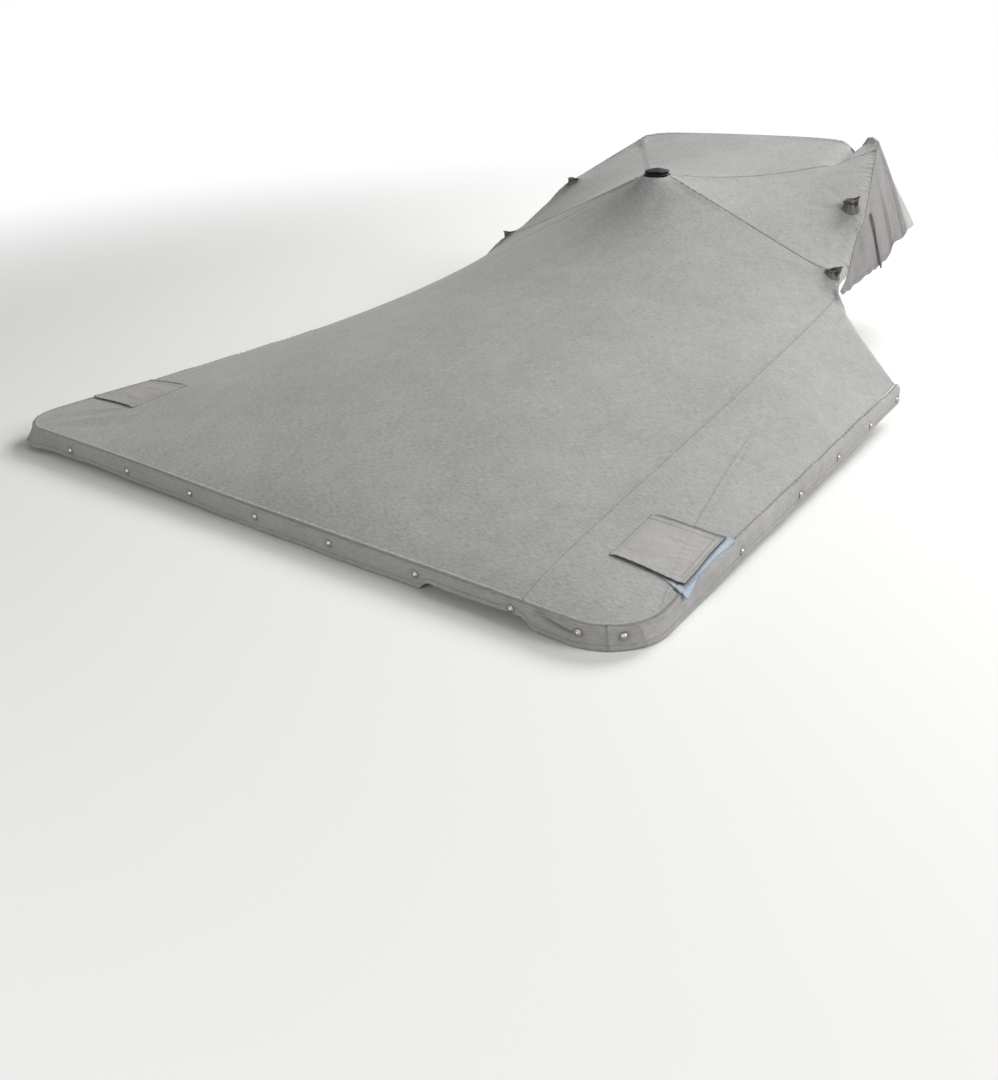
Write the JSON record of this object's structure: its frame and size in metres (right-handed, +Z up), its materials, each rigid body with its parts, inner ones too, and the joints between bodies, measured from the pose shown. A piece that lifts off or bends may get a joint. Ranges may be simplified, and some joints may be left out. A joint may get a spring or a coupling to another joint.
{
  "type": "boat cockpit cover",
  "caption": "Taut fitted canvas cover for a boat's open cockpit, hollow below, with a vented peak, frame-leg boots, windscreen wings and a studded hem band.",
  "frame": {"origin": "centre of the support pole seat, on the underside of the top at the vent", "axes": "+Y towards the bow along the cover's length, +X to starboard, +Z up"},
  "size_m": [2.299, 3.0945, 0.6985],
  "materials": {
    "canvas": "mid heather grey woven marine canvas, matt, with slubs athwart and faint soiling",
    "side_band_canvas": "the same grey canvas, doubled for the side hem and double stitched",
    "band_canvas": "the same grey canvas, doubled for the stern hem, darker in tone",
    "boot_canvas": "grey-brown canvas gathered round the frame legs",
    "webbing": "dark grey flat woven webbing",
    "blue_patch": "pale blue coated cloth, smooth and slightly shiny",
    "vent_plastic": "black moulded plastic, fine grained",
    "stud_metal": "nickel-plated press stud caps, polished and slightly dulled"
  },
  "bodies": {
    "root": {"aft_panel": "canvas", "starboard_side_panel": "canvas", "starboard_roof_side_panel": "canvas", "port_roof_side_panel": "canvas", "roof_front_panel": "canvas", "front_panel": "canvas", "starboard_wing_panel": "canvas", "port_wing_panel": "canvas", "starboard_wing_strap": "webbing", "port_wing_strap": "webbing", "stern_band": "band_canvas", "starboard_corner_band": "band_canvas", "port_corner_band": "band_canvas", "starboard_side_band": "side_band_canvas", "port_side_band": "side_band_canvas", "starboard_flap": "canvas", "starboard_flap_under_patch": "blue_patch", "port_flap": "canvas", "starboard_aft_boot": "boot_canvas", "port_aft_boot": "boot_canvas", "starboard_forward_boot": "boot_canvas", "port_forward_boot": "boot_canvas", "vent_base": "vent_plastic", "vent_cap": "vent_plastic", "stern_stud_1": "stud_metal", "stern_stud_2": "stud_metal", "stern_stud_3": "stud_metal", "stern_stud_4": "stud_metal", "stern_stud_5": "stud_metal", "stern_stud_6": "stud_metal", "stern_stud_7": "stud_metal", "starboard_corner_stud_82": "stud_metal", "starboard_corner_stud_44": "stud_metal", "port_corner_stud_44": "stud_metal", "starboard_side_stud_1": "stud_metal", "starboard_side_stud_2": "stud_metal", "starboard_side_stud_3": "stud_metal", "starboard_side_stud_4": "stud_metal", "starboard_side_stud_5": "stud_metal", "port_side_stud_1": "stud_metal", "port_side_stud_2": "stud_metal", "port_side_stud_3": "stud_metal", "port_side_stud_4": "stud_metal", "port_side_stud_5": "stud_metal"}
  },
  "joints": []
}
